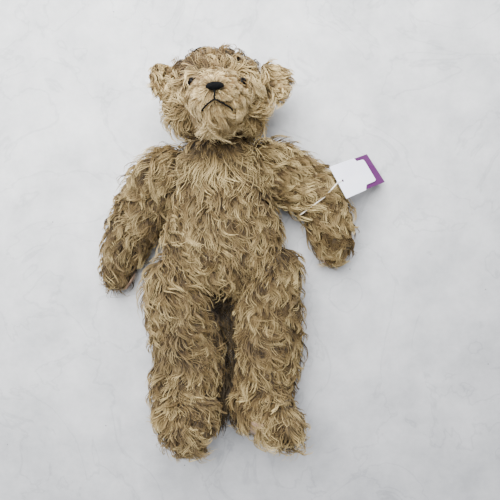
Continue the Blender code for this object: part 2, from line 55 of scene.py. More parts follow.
# Joint planes: each limb stays on its own side of one, the torso inside them all.
def jointPlanes():
    for joint in frame["joints"]:
        point, axis = Vector(joint["pos_m"]), Vector(joint["axis"]).normalized()
        out = axis if axis.dot(point - Vector((0, 0, point.z))) > 0 else -axis
        if joint["name"] == "neck_turn":
            out = Vector((0, 1, 0))
        yield joint["child"], (out, out.dot(point))


planes = dict(jointPlanes())


def planeRoom(body, point):
    # how far the point is inside its own body's side of the nearest joint plane
    if body == "torso":
        return min(offset - out.dot(point) for out, offset in planes.values())
    out, offset = planes[body]
    return out.dot(point) - offset


def smoothStep(value, low, high):
    share = max(0.0, min(1.0, (value - low) / (high - low)))
    return share * share * (3 - 2 * share)


def rise(value, low, high):
    # the same step, between two distances in mm
    return smoothStep(value, low * mm, high * mm)


def ranged(pair, share):
    # a least value, and what a full share adds to it
    return pair[0] + pair[1] * share


# Node helpers
def addNode(tree, kind, settings=None, **values):
    node = tree.nodes.new(kind)
    for key, value in (settings or {}).items():
        setattr(node, key, value)
    for key, value in values.items():
        plug(tree, node.inputs[key.replace("_", " ")], value)
    return node


def plug(tree, socket, value):
    if isinstance(value, bpy.types.NodeSocket):
        tree.links.new(value, socket)
    elif value is not None:
        socket.default_value = value


def doMath(tree, operation, *values):
    node = addNode(tree, "ShaderNodeMath", {"operation": operation})
    for socket, value in zip(node.inputs, values):
        plug(tree, socket, value)
    return node.outputs[0]


def doVector(tree, operation, *values):
    node = addNode(tree, "ShaderNodeVectorMath", {"operation": operation})
    vectors = [socket for socket in node.inputs if socket.name == "Vector"]
    for index, value in enumerate(values):
        target = node.inputs["Scale"] if operation == "SCALE" and index == 1 else vectors[index]
        plug(tree, target, value)
    return node.outputs[0]


# Materials
def newMaterial(name, roughness, specular=0.3, sheen=0.0):
    made = bpy.data.materials.new(name)
    made.use_nodes = True
    shader = made.node_tree.nodes["Principled BSDF"]
    shader.inputs["Roughness"].default_value = roughness
    shader.inputs["Specular IOR Level"].default_value = specular
    shader.inputs["Sheen Weight"].default_value = sheen
    return made, made.node_tree, shader


def colourRamp(tree, factor, stops):
    node = addNode(tree, "ShaderNodeValToRGB", Fac=factor)
    ramp = node.color_ramp
    while len(ramp.elements) < len(stops):
        ramp.elements.new(0.5)
    for element, (place, colour) in zip(ramp.elements, stops):
        element.position = place
        element.color = (*colour, 1)
    return node.outputs["Color"]


def multiplied(tree, colour, factor):
    mix = addNode(tree, "ShaderNodeMix", {"data_type": "RGBA", "blend_type": "MULTIPLY"})
    for socket, value in zip((0, 6, 7), (1.0, colour, factor)):
        plug(tree, mix.inputs[socket], value)
    return mix.outputs[2]


def paint(tree, shader, colour, height=None, distance=0.0, strength=0.0):
    # the surface's colour, and its relief where there is one
    plug(tree, shader.inputs["Base Color"], colour)
    if height:
        relief = addNode(tree, "ShaderNodeBump", Height=height, Distance=distance, Strength=strength)
        plug(tree, shader.inputs["Normal"], relief.outputs[0])


def grainGroup():
    # fibre grain shared by the matt finishes: a mask and a height
    tree = bpy.data.node_groups.new("fibreGrain", "ShaderNodeTree")
    for name in ("Coarse", "Fine"):
        tree.interface.new_socket(name, in_out="INPUT", socket_type="NodeSocketFloat")
    for name in ("Mask", "Height"):
        tree.interface.new_socket(name, in_out="OUTPUT", socket_type="NodeSocketFloat")
    given, result = tree.nodes.new("NodeGroupInput"), tree.nodes.new("NodeGroupOutput")
    place = tree.nodes.new("ShaderNodeTexCoord").outputs["Object"]
    coarse = addNode(tree, "ShaderNodeTexNoise", Vector=place, Scale=given.outputs["Coarse"], Detail=3.0)
    fine = addNode(tree, "ShaderNodeTexNoise", Vector=place, Scale=given.outputs["Fine"], Detail=5.0)
    tree.links.new(coarse.outputs[0], result.inputs["Mask"])
    tree.links.new(fine.outputs[0], result.inputs["Height"])
    return tree


fibreGrain = grainGroup()


def grainMaterial(name, dark, light, coarse, fine, bump, **finish):
    made, tree, shader = newMaterial(name, **finish)
    grain = addNode(tree, "ShaderNodeGroup", {"node_tree": fibreGrain}, Coarse=coarse, Fine=fine)
    colour = colourRamp(tree, grain.outputs["Mask"], [(0.3, dark), (0.7, light)])
    paint(tree, shader, colour, grain.outputs["Height"], 0.0004, bump)
    return made


def ridgedMaterial(name, dark, light, ridges, bump, **finish):
    # close ridges side by side, as laid stitches or the plies of a string show
    made, tree, shader = newMaterial(name, **finish)
    place = tree.nodes.new("ShaderNodeTexCoord").outputs["Object"]
    wave = addNode(tree, "ShaderNodeTexWave", {"wave_profile": "SIN"}, Vector=place, Scale=ridges,
                   Distortion=1.2, Detail=2.0)
    colour = colourRamp(tree, wave.outputs["Fac"], [(0.1, dark), (0.8, light)])
    paint(tree, shader, colour, wave.outputs["Fac"], 0.0003, bump)
    return made


lockShades = [(0.44, (0.70, 0.62, 0.54)), (0.60, (0.97, 0.94, 0.88)), (0.80, (1.56, 1.55, 1.5))]


def mohairMaterial(name, root, middle, tip, warm):
    # U is the lock's tone, V runs from root to tip
    made, tree, shader = newMaterial(name, roughness=0.62, specular=0.25, sheen=0.04)
    place = addNode(tree, "ShaderNodeUVMap", {"uv_map": "OFBake"}).outputs[0]
    split = addNode(tree, "ShaderNodeSeparateXYZ", Vector=place)
    # root to tip: the dark roots are partly the fibre's own colour and partly painted shade deep in the pile
    length = colourRamp(tree, split.outputs["Y"], [(0.0, root), (0.45, middle), (0.92, tip)])
    # the darkest stop is painted shade, reached where the tone field is lowered into hollows and under the chin
    dark = tuple(0.3 * part for part in warm)
    shade = colourRamp(tree, split.outputs["X"], [(0.04, dark), (0.27, warm), *lockShades])
    paint(tree, shader, multiplied(tree, length, shade))
    return made


# Coats: colours at root, middle and tip, and the warm shade of the darkest locks; the near-black roots are
# partly the mohair's own colour and partly painted shade deep in the pile
coatColours = {
    "body": ((0.016, 0.010, 0.004), (0.122, 0.083, 0.032), (0.435, 0.34, 0.165), (0.34, 0.28, 0.19)),
    "head": ((0.040, 0.026, 0.010), (0.225, 0.158, 0.068), (0.53, 0.42, 0.222), (0.42, 0.34, 0.24)),
    "muzzle": ((0.08, 0.053, 0.023), (0.30, 0.216, 0.098), (0.63, 0.505, 0.285), (0.58, 0.48, 0.35)),
}
coats = {name: mohairMaterial("mohair" + name.title(), *colours) for name, colours in coatColours.items()}

# Finishes: name, dark, light, coarse and fine grain or the ridges, relief, then the shader's inputs
grained = {
    # the pelts' backing, coloured dark as painted shade down in the pile; the face's is lighter
    "backing": ("mohairBackingShade", (0.06, 0.04, 0.018), (0.17, 0.12, 0.058), 90, 900, 0.9,
                {"roughness": 0.95, "specular": 0.1}),
    "faceBackingShade": ("faceBackingShade", (0.14, 0.10, 0.045), (0.30, 0.22, 0.11), 120, 900, 0.9,
                    {"roughness": 0.95, "specular": 0.1}),
    "felt": ("padFelt", (0.20, 0.125, 0.08), (0.30, 0.195, 0.13), 260, 1600, 0.8,
             {"roughness": 0.92, "specular": 0.12, "sheen": 0.15}),
    "thread": ("blackThread", (0.002, 0.002, 0.002), (0.006, 0.006, 0.006), 600, 2600, 0.6,
               {"roughness": 0.75, "specular": 0.08}),
    "eye": ("eyeBead", (0.002, 0.0015, 0.0015), (0.005, 0.004, 0.003), 60, 300, 0.02,
            {"roughness": 0.22, "specular": 0.09}),
    "plastic": ("jointPlastic", (0.70, 0.69, 0.65), (0.80, 0.79, 0.74), 80, 1200, 0.1, {"roughness": 0.45}),
    "card": ("ticketCard", (0.86, 0.87, 1.0), (0.9, 0.91, 1.0), 50, 2600, 0.08, {"roughness": 0.42}),
    "purple": ("ticketPurple", (0.07, 0.006, 0.075), (0.095, 0.01, 0.10), 60, 2400, 0.08, {"roughness": 0.4}),
}
ridged = {
    "string": ("ticketString", (0.84, 0.74, 0.60), (0.97, 0.92, 0.82), 520, 0.8, {"roughness": 0.8}),
    "nose": ("satinStitch", (0.0008, 0.0008, 0.001), (0.0045, 0.0045, 0.005), 420, 0.9,
             {"roughness": 0.6, "specular": 0.07}),
}
finishes = {key: grainMaterial(*values, **inputs) for key, (*values, inputs) in grained.items()}
finishes |= {key: ridgedMaterial(*values, **inputs) for key, (*values, inputs) in ridged.items()}
print("finishes ready")


# Skins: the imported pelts' outer faces, drawn in to where the pile is rooted
skinSettings = {"grain": 2.4, "smoothing": 6, "rootDepth": 5.5, "seatDepth": 1.0, "muzzleDepth": 2.6,
                "innerReach": 2.1, "eyeReach": 3.6, "socketDepth": 2.4}


def treeOf(words):
    # a search tree of the nodes whose names hold one of the words
    bm = bmesh.new()
    for name, node in nodes.items():
        if any(word in name for word in words):
            bm.from_mesh(node.data)
    tree = BVHTree.FromBMesh(bm)
    bm.free()
    return tree


hiddenPieces = treeOf(["stuffing", "disc", "washer"])
eyePieces = treeOf(["eye_"])


def islandsOf(items, around):
    # the items in groups that touch, where around gives an item's neighbours
    unseen, islands = set(items), []
    while unseen:
        stack, island = [unseen.pop()], []
        while stack:
            item = stack.pop()
            island.append(item)
            for other in around(item):
                if other in unseen:
                    unseen.discard(other)
                    stack.append(other)
        islands.append(island)
    return islands


def largestIsland(bm):
    islands = islandsOf(bm.faces, lambda face: (other for edge in face.edges for other in edge.link_faces))
    keep = set(max(islands, key=lambda island: sum(face.calc_area() for face in island)))
    bmesh.ops.delete(bm, geom=[face for face in bm.faces if face not in keep], context="FACES")


def closeHoles(bm):
    # each ring of open edges gets a fan of faces from its middle
    rings = islandsOf([edge for edge in bm.edges if edge.is_boundary],
                      lambda edge: (other for vertex in edge.verts for other in vertex.link_edges))
    for ring in rings:
        rim = {vertex for edge in ring for vertex in edge.verts}
        middle = bm.verts.new(sum((vertex.co for vertex in rim), Vector()) / len(rim))
        for edge in ring:
            bm.faces.new((*edge.verts, middle))


def meshOf(bm, name):
    mesh = bpy.data.meshes.new(name)
    bm.to_mesh(mesh)
    bm.free()
    return mesh


def mergedCopy(name, title, pelt):
    # the node's mesh, and for a pelt only its outer faces with the openings closed
    bm = bmesh.new()
    bm.from_mesh(nodes[name].data)
    bmesh.ops.remove_doubles(bm, verts=bm.verts, dist=0.00001)
    if pelt:
        inner = [face for face in bm.faces
                 if hiddenPieces.find_nearest(face.calc_center_median(), skinSettings["innerReach"] * mm)[0]
                 or eyePieces.find_nearest(face.calc_center_median(), skinSettings["eyeReach"] * mm)[0]]
        bmesh.ops.delete(bm, geom=inner, context="FACES")
        largestIsland(bm)
        closeHoles(bm)
        bmesh.ops.recalc_face_normals(bm, faces=bm.faces)
    return meshOf(bm, title)


def linkObject(name, data):
    made = bpy.data.objects.new(name, data)
    bpy.context.scene.collection.objects.link(made)
    return made


def plainMesh(piece):
    bpy.context.view_layer.update()
    source = piece.evaluated_get(bpy.context.evaluated_depsgraph_get())
    mesh = bpy.data.meshes.new_from_object(source)
    piece.modifiers.clear()
    piece.data = mesh
    return mesh


def outerShell(mesh):
    # the largest island, without the closed rooms left inside it
    bm = bmesh.new()
    bm.from_mesh(mesh)
    islands = islandsOf(bm.verts, lambda vertex: (edge.other_vert(vertex) for edge in vertex.link_edges))
    islands.sort(key=len)
    for island in islands[:-1]:
        bmesh.ops.delete(bm, geom=island, context="VERTS")
    bm.to_mesh(mesh)
    bm.free()


def makeSkin(name, source, grain, smoothing, pelt=False):
    skin = linkObject(name, mergedCopy(source, name, pelt))
    remesh = skin.modifiers.new("fuse", "REMESH")
    remesh.mode = "VOXEL"
    remesh.voxel_size = grain * mm
    soften = skin.modifiers.new("soften", "SMOOTH")
    soften.iterations = smoothing
    outerShell(plainMesh(skin))
    return skin


def middle(node, *offset):
    # the middle of a node's box, moved by an offset in mm
    low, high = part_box(node)
    return (Vector(low) + Vector(high)) / 2 + Vector(offset) * mm


nosePoint = middle("nose", 0, 0, -4)
muzzleCentre = middle("nose", 0, -1.3, -23)
eyeSpots = [middle("eye_left", 0.6, 0, -9), middle("eye_right", -0.4, 0.5, -11)]
# lines of the mouth, as (x, y) in mm from the middle of the nose
mouthLines = {
    "mouth_stitch_centre": [(-0.1, -1.8), (-0.4, -5.0), (-0.7, -8.1)],
    "mouth_stitch_left": [(-0.7, -7.9), (3.2, -9.6), (7.2, -11.5), (9.9, -12.9), (11.3, -14.3)],
    "mouth_stitch_right": [(-0.7, -7.9), (-4.1, -9.3), (-7.6, -11.0), (-9.9, -12.5), (-10.9, -13.8)],
}
mouthLines = {node: [(x + nosePoint.x / mm, y + nosePoint.y / mm) for x, y in line]
              for node, line in mouthLines.items()}


def nearestPart(point, line):
    # how far the nearest part of a line of (x, y) points in mm is, seen from above, and its direction
    parts = []
    for start, end in zip(line, line[1:]):
        a, b = Vector(start) * mm, Vector(end) * mm
        share = max(0.0, min(1.0, (point.xy - a).dot(b - a) / (b - a).length_squared))
        parts.append(((a + (b - a) * share - point.xy).length, (b - a).normalized().to_3d()))
    return min(parts, key=lambda part: part[0])


def drawIn(skin, body, depth):
    normals = [vertex.normal.copy() for vertex in skin.data.vertices]
    for vertex, normal in zip(skin.data.vertices, normals):
        free = rise(planeRoom(body, vertex.co), 1.5, 10)
        free = min(free, rise(vertex.co.z, 2, 10))
        reach = depth
        if body == "head":
            near = 1 - rise((vertex.co - muzzleCentre).length, 22, 32)
            reach += (skinSettings["muzzleDepth"] - depth) * near
            for eye in eyeSpots:
                beside = 1 - rise((vertex.co - eye).xy.length, 9, 17)
                reach += (skinSettings["socketDepth"] - reach) * beside * rise(vertex.co.z, 55, 70)
        inwards = skinSettings["seatDepth"] + (reach - skinSettings["seatDepth"]) * free
        vertex.co -= normal * inwards * mm
    skin.data.update()


# Comb: the way the pile lies, along a line or away from the nose, and a swirl with its size in mm
combSettings = {
    "head": {"swirl": 0.6, "size": 26, "sink": 12, "jaw": 0.75, "crown": 0.3, "lid": 0.9, "lidUp": 7},
    "torso": {"line": [(0, 80), (0, -75)], "swirl": 1.25, "size": 30, "inwards": 7, "neck": 0.85},
    "arm_left": {"line": [(40, 44), (97, 12), (109, -50)], "swirl": 0.5, "size": 26},
    "arm_right": {"line": [(-42, 44), (-84, 2), (-110, -60)], "swirl": 0.6, "size": 24},
    "leg_left": {"line": [(44, -50), (37, -120), (30, -215)], "swirl": 1.5, "size": 24, "low": 0.8},
    "leg_right": {"line": [(-46, -50), (-42, -120), (-46, -215)], "swirl": 1.5, "size": 24, "low": 0.8},
}


def headComb(point):
    # away from the nose, then down at the jaw, up at the crown and outwards over the eyes
    head, away = combSettings["head"], point - nosePoint
    away.y -= head["sink"] * mm * rise(-away.y, 0, 30)
    base = away.normalized()
    base = base.lerp(Vector((0.25 * base.x, -1, -0.2)), head["jaw"] * rise(-away.y, 4, 22)).normalized()
    if away.length > 0.05 and point.y > 0.1:
        base = (base + Vector((0, head["crown"], 0))).normalized()
    for eye in eyeSpots:
        above = 1 - rise((point - eye - Vector((0, head["lidUp"], 0)) * mm).xy.length, 6, 12)
        if point.y > eye.y and point.z > 0.06:
            side = 1 if eye.x > nosePoint.x else -1
            base = base.lerp(Vector((0.5 * side, -1, 0)), head["lid"] * above).normalized()
    return base


def combAt(body, point):
    kind, outwards = combSettings[body], math.copysign(1.0, point.x)
    base = headComb(point) if body == "head" else nearestPart(point, kind["line"])[1]
    if body == "torso":
        base = (base + Vector((-point.x * kind["inwards"] * rise(-point.y, 0, 50), 0, 0))).normalized()
        neck = rise(point.y, 35, 55) * rise(abs(point.x), 8, 25)
        base = base.lerp(Vector((outwards, -0.35, -0.1)), kind["neck"] * neck).normalized()
    if body.startswith("leg"):
        low = rise(-point.y, 70, 90) * (1 - rise(point.z, 18, 30))
        base = base.lerp(Vector((-outwards, -0.3, 0)), kind["low"] * low).normalized()
    turn = kind["swirl"] * noise.noise(point / (kind["size"] * mm) + Vector((3.1, 7.7, len(body))))
    return base, turn


# Spots that the pile depends on: the band under the string, the hollow between the legs, a flank, a hip
stringCentre, stringAcross = Vector((97, 9, 26)) * mm, Vector((0.84, 0.54, 0)).normalized()
stringSide = stringAcross.cross(Vector((0, 0, 1)))
hollowSpot = middle("torso_pelt", -15, -73.3, 0).xy
flankSpot = middle("torso_pelt", -60, -27.3, 0).xy
hipSpot = middle("leg_right_pelt", -28.2, 63.6, 0).xy

# What each place does to the pile: pile is its length, cover how much of it there is,
# hang how freely it falls, and the tone field a change of its tone: painted shade under the chin,
# at the throat, round the eyes, on the crown and between the legs, painted light on the cheeks, jowls, chin and
# neck
places = {
    "seat": {"cover": (0.45, 0.55)},
    "face": {"squash": 1.2, "pile": 0.62, "cover": 0.5},
    "chin": {"hang": 0.85, "pile": 0.6, "toneAndShade": 0.14},
    "under": {"pile": 0.62, "toneAndShade": 0.45, "besideJowl": 0.7},
    "cheek": {"toneAndShade": 0.22, "side": 0.16, "low": 0.10, "crown": 0.27, "beside": 0.34},
    "jowl": {"pile": 0.75, "toneAndShade": 0.16, "tilt": 0.3, "farPile": 0.35},
    "eye": {"lid": 3, "pile": (0.75, 0.25), "toneAndShade": 0.5, "hang": 0.65, "bare": 3.2, "grown": 4.8,
            "covered": 1.4},
    "nose": {"squash": 2.0, "bare": 6.2, "grown": 7.6},
    "mouth": {"cover": (0.15, 0.85), "pile": (0.55, 0.45)},
    "neck": {"pile": 0.45, "hang": 0.3, "toneAndShade": 0.22},
    "throat": {"pile": 0.5, "cover": 0.3, "toneAndShade": 0.45},
    "flank": {"pile": 0.5, "hang": 0.3},
    "leg": {"toneAndShade": 0.05, "toePile": 0.25, "toePale": 0.16, "hipPile": 0.4},
    "innerLeg": {"pile": 0.5, "toneAndShade": 0.55, "hang": 0.5, "cover": 1.2},
    "knee": {"leg_left": (1.05, -0.5), "leg_right": (0.45, 0.6)},
    "hollow": {"deepPile": 0.7, "pile": 0.62, "deepCover": 0.5, "cover": 0.6, "toneAndShade": 0.6},
    "arm": {"shoulderPile": 0.3, "toneAndShade": -0.07},
    "arm_left": {"upperPale": 0.24, "toneAndShade": 0.17, "pawPale": 0.2, "stringPile": (0.35, 0.65)},
}


def headPile(point, normal, cover):
    face, chin, cheek, jowls = places["face"], places["chin"], places["cheek"], places["jowl"]
    front = rise(point.z, 60, 90)
    reach = Vector((point.x - nosePoint.x, (point.y - nosePoint.y) * face["squash"])).length
    below = nosePoint.y - point.y
    pile = 1 - face["pile"] * front * (1 - rise(reach, 9, 25))
    hang = chin["hang"] * rise(below, 11, 21) * rise(point.z, 35, 60)
    hang *= 1 - rise(abs(point.x - nosePoint.x), 20, 36)
    pile *= 1 + chin["pile"] * hang
    # painted shade under the head, on the downward-facing fur low over the floor
    under = smoothStep(-normal.y, 0.3, 0.8) * (1 - rise(point.z, 62, 82))
    pile *= 1 - places["under"]["pile"] * under
    hang *= 1 - under
    low = 1 - rise(point.y, 112, 130)
    outside = rise(reach, 20, 34)
    jowl = rise(point.x, 20, 34) * smoothStep(normal.x - jowls["tilt"] * normal.y, 0.2, 0.6)
    jowl *= 1 - rise(point.y, 98, 110)
    pile *= 1 + jowls["pile"] * jowl * (1 - rise(point.y, 82, 98))
    far = rise(-point.x, 12, 26) * smoothStep(-normal.x - jowls["tilt"] * normal.y, 0.2, 0.6)
    pile *= 1 + jowls["farPile"] * far * (1 - rise(point.y, 92, 104))
    under *= 1 - places["under"]["besideJowl"] * jowl
    # painted light on the lower head, more on the cheek turned away from the lamp, and painted shade on the
    # crown, which the lamp lights most
    toneAndShade = low * (cheek["low"] + outside * (cheek["toneAndShade"] + cheek["side"] * rise(point.x, -5, 20)))
    toneAndShade = toneAndShade - cheek["crown"] * (1 - low) - places["under"]["toneAndShade"] * under
    # painted light on the jowl, beside the muzzle and on the chin, which face away from the lamp
    toneAndShade += jowls["toneAndShade"] * jowl
    beside = rise(reach, 17, 24) * (1 - rise(reach, 36, 46))
    toneAndShade += cheek["beside"] * beside * rise(point.x, 10, 20) * (1 - under)
    toneAndShade += chin["toneAndShade"] * rise(below, 8, 22) * (1 - outside)
    cover *= 1 + face["cover"] * front * (1 - rise(reach, 16, 30))
    if point.z > 60 * mm:
        eyes = places["eye"]
        for eye in eyeSpots:
            flat = (point - eye).xy.length
            above = smoothStep(point.y, eye.y, eye.y + eyes["lid"] * mm)
            pile *= ranged(eyes["pile"], max(above, rise(flat, 5, 12)))
            # painted shade round the eye sockets
            toneAndShade -= eyes["toneAndShade"] * (1 - rise(flat, 5, 10))
            hang = max(hang, eyes["hang"] * above * (1 - rise(flat, 8, 13)))
            cover *= rise(flat, eyes["bare"] - eyes["covered"] * above, eyes["grown"] - eyes["covered"] * above)
    if point.z > 90 * mm:
        nose, mouth = places["nose"], places["mouth"]
        away = Vector((point.x - nosePoint.x, (point.y - nosePoint.y) * nose["squash"])).length
        cover *= rise(away, nose["bare"], nose["grown"])
        gap = min(nearestPart(point, line)[0] for line in mouthLines.values())
        cover *= ranged(mouth["cover"], rise(gap, 0.3, 1.6))
        pile *= ranged(mouth["pile"], rise(gap, 0.8, 6))
    return pile, cover, hang, toneAndShade


def torsoPile(point, normal, cover):
    neck, dip, side = places["neck"], places["throat"], places["flank"]
    pile = 1 + neck["pile"] * rise(point.y, 38, 55)
    hang = neck["hang"] * rise(point.y, 38, 55) * rise(abs(point.x), 15, 28)
    throat = rise(point.y, 60, 66) * (1 - rise(abs(point.x), 16, 26))
    pile *= 1 - dip["pile"] * throat
    cover *= 1 - dip["cover"] * throat
    # painted light on the neck's top, where the head's shadow falls, and painted shadow at the throat under the
    # chin
    toneAndShade = neck["toneAndShade"] * rise(point.y, 38, 48) - dip["toneAndShade"] * throat
    flank = (1 - rise((point.xy - flankSpot).length, 12, 26)) * smoothStep(-normal.x, 0.2, 0.6)
    pile *= 1 + side["pile"] * flank
    return pile, cover, max(hang, side["hang"] * flank), toneAndShade


def legPile(body, point, normal, cover):
    leg, between = places["leg"], places["innerLeg"]
    inner = smoothStep(-normal.x * math.copysign(1.0, point.x), 0.35, 0.8) * rise(-point.y, 70, 90)
    short = ranged(places["knee"][body], rise(-point.y, 140, 158))
    pile = 1 + inner * (between["pile"] - short * rise(point.z, 20, 32))
    # a slight darkening of the whole leg, and painted shade on the inner legs low down, in the gap between them
    toneAndShade = -(leg["toneAndShade"] + between["toneAndShade"] * inner * (1 - rise(point.z, 26, 44)))
    pile *= 1 + leg["toePile"] * (rise(-point.y, 190, 203) * rise(point.z, 30, 40))
    toneAndShade += leg["toePale"] * rise(-point.y, 178, 200)
    hip = smoothStep(-normal.x, 0.2, 0.6) * (1 - rise((point.xy - hipSpot).length, 16, 32))
    pile *= 1 + leg["hipPile"] * hip
    hang = between["hang"] * inner * (1 - rise(point.z, 16, 26))
    cover *= 1 + between["cover"] * inner * (1 - rise(point.z, 16, 28))
    return pile, cover, hang, toneAndShade


def armPile(body, point, cover):
    pile, toneAndShade = 1 + places["arm"]["shoulderPile"] * rise(point.y, 36, 50), places["arm"]["toneAndShade"]
    if body == "arm_left":
        arm = places["arm_left"]
        toneAndShade = arm["upperPale"] * rise(point.y, -30, 5) - arm["toneAndShade"]
        toneAndShade += arm["pawPale"] * rise(-point.y, 26, 44)
        across = abs((point - stringCentre).dot(stringSide))
        pile *= ranged(arm["stringPile"], rise(across, 1.5, 8))
    return pile, cover, 0.0, toneAndShade


def pileAt(body, point, normal):
    # length of the pile, how much of it there is, how freely it hangs and how its tone is raised or lowered, in
    # places as painted light and painted shade
    cover = rise(planeRoom(body, point), 0.4, 1.8) * ranged(places["seat"]["cover"], rise(point.z, 3, 12))
    if body == "head":
        return headPile(point, normal, cover)
    if body.startswith("arm"):
        return armPile(body, point, cover)
    if body == "torso":
        pile, cover, hang, toneAndShade = torsoPile(point, normal, cover)
    else:
        pile, cover, hang, toneAndShade = legPile(body, point, normal, cover)
    hollow = places["hollow"]
    near = 1 - rise((point.xy - hollowSpot).length, 9, 19)
    deep = 1 - rise(point.z, 18, 30)
    pile *= 1 + near * (hollow["deepPile"] * deep - hollow["pile"] * (1 - deep))
    cover *= 1 + near * (hollow["deepCover"] * deep - hollow["cover"] * (1 - deep))
    # painted shade in the hollow between the legs
    return pile, cover, hang, toneAndShade - hollow["toneAndShade"] * near


# Fields that the skins carry while the pile grows, and the ones that the tree adds
combFields = [("comb", "FLOAT_VECTOR"), ("pile", "FLOAT"), ("cover", "FLOAT"), ("hang", "FLOAT"),
              ("toneAndShade", "FLOAT")]
treeFields = ["root", "outward", "chance", "tone", "along"]


def combSkin(mesh, fieldsAt):
    # writes the fields that fieldsAt gives at each vertex: a direction, then the others in order
    for key, kind in combFields:
        mesh.attributes.new(key, kind, "POINT")
    comb, *others = (mesh.attributes[key] for key, kind in combFields)
    for vertex in mesh.vertices:
        comb.data[vertex.index].vector, values = fieldsAt(vertex.co, vertex.normal)
        for field, value in zip(others, values):
            field.data[vertex.index].value = value


def bodyFields(body):
    def fieldsAt(point, normal):
        base, turn = combAt(body, point)
        flat = base - normal * base.dot(normal)
        if flat.length < 0.05:
            flat = normal.orthogonal()
        return Matrix.Rotation(turn, 3, normal) @ flat.normalized(), pileAt(body, point, normal)
    return fieldsAt


def dropFields(mesh, keys):
    for key in keys:
        found = mesh.attributes.get(key)
        if found:
            mesh.attributes.remove(found)


# Pile: curly locks over a combed skin
pileInputs = {
    "Density": 200000.0, "Seed": 1, "Lock Length": 0.019, "Pile Height": 0.0078, "Fibre Radius": 0.0004,
    "Curl Width": 0.0025, "Curl Turns": 0.9, "Lock Bend": 1.7, "Lock Size": 0.0046, "Lock Pull": 0.62,
    "Lock Spread": 1.05, "Looseness": 0.6, "Fibre Points": 6,
}

# Numbers inside the tree, as a least value and what luck adds, or as powers and shares
pileShape = {
    "rootTurn": 0.4, "lockLength": (0.7, 0.6), "fibreLength": (0.8, 0.35), "fibrePhase": 0.9, "curlPower": 0.7,
    "pullPower": 0.8, "risePower": 2.2, "droop": 0.3, "stand": (0.42, 1.15), "curlLift": 0.6, "lowest": 0.0008,
    "hug": 0.95, "hugPower": 1.5, "overFloor": 0.0006, "tipThin": 0.8, "thickness": (0.7, 0.6),
    "lockTone": 0.48, "fibreTone": 0.22, "patchTone": 0.3, "patchScale": 28.0,
}


def namedField(tree, name, kind="FLOAT"):
    return addNode(tree, "GeometryNodeInputNamedAttribute", {"data_type": kind}, Name=name).outputs["Attribute"]


def storeField(tree, geometry, name, value, kind="FLOAT", domain="POINT"):
    node = addNode(tree, "GeometryNodeStoreNamedAttribute", {"data_type": kind, "domain": domain},
                   Geometry=geometry, Name=name, Value=value)
    return node.outputs[0]


def nearSkin(tree, skin, value, place):
    node = addNode(tree, "GeometryNodeSampleNearestSurface", {"data_type": "FLOAT_VECTOR"},
                   Mesh=skin, Value=value, Sample_Position=place)
    return node.outputs["Value"]


